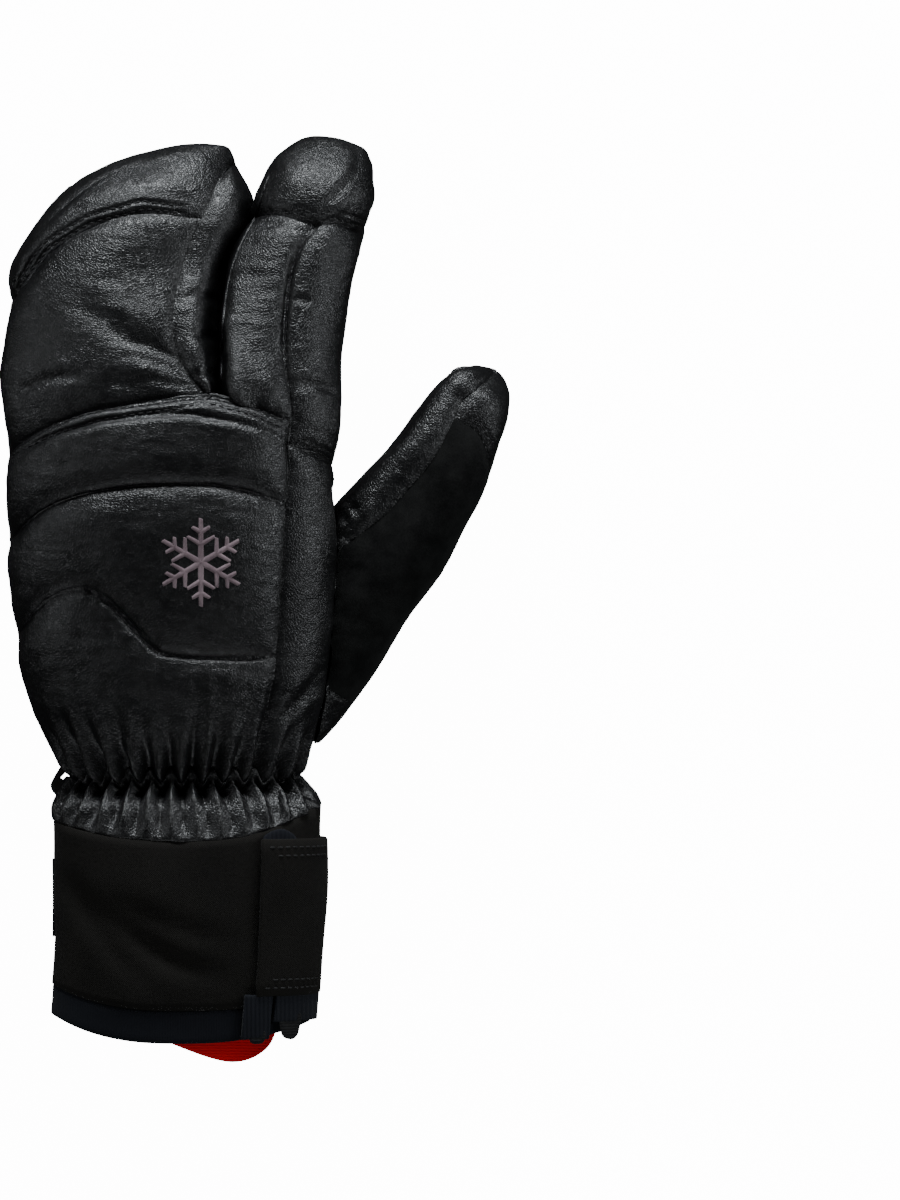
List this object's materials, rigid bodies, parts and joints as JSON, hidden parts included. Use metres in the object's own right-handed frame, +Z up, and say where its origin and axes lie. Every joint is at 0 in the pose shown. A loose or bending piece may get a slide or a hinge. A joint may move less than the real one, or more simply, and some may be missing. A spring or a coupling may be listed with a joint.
{
  "type": "three compartment ski glove",
  "caption": "Padded leather ski glove for the left hand: fingers share one pocket, index finger and thumb have their own; gathered wrist, strapped cloth cuff.",
  "frame": {"origin": "centre of the glove's box in plan, on the surface that the palm lies on", "axes": "+Y from the cuff's open end towards the fingertips, +X towards the thumb side, +Z up out of the back of the hand"},
  "size_m": [0.1598, 0.2936, 0.0646],
  "materials": {
    "leather": "fine grained black leather with a soft sheen",
    "suede": "matt black suede",
    "softshell": "matt brown-black softshell cloth",
    "knit": "navy-black knit",
    "elastic": "ribbed navy-black elastic",
    "loop_patch": "short black loop pile",
    "webbing": "deep red woven webbing",
    "tape": "black woven tape",
    "plastic": "moulded black plastic"
  },
  "bodies": {
    "root": {"lower_back": "leather", "back_pad": "leather", "knuckle_rib": "leather", "thumb_side_strip": "leather", "mitt_back": "leather", "mitt_gusset": "leather", "mitt_tip_cap": "leather", "mitt_palm": "leather", "index_back": "leather", "index_side": "leather", "index_tip_cap": "leather", "index_gusset": "leather", "index_palm": "leather", "palm_overlay": "leather", "palm_panel": "leather", "thumb_base": "leather", "thumb_back": "leather", "thumb_pad": "suede", "thumb_tip_cap": "leather", "thumb_palm": "leather", "wrist_gather": "leather", "cuff": "softshell", "cuff_hem": "knit", "cuff_strap": "softshell", "strap_patch": "loop_patch", "side_label": "knit", "hem_elastic": "elastic", "hem_tab": "elastic", "pull_loop": "webbing", "clip_tape": "tape", "clip": "plastic"}
  },
  "joints": []
}
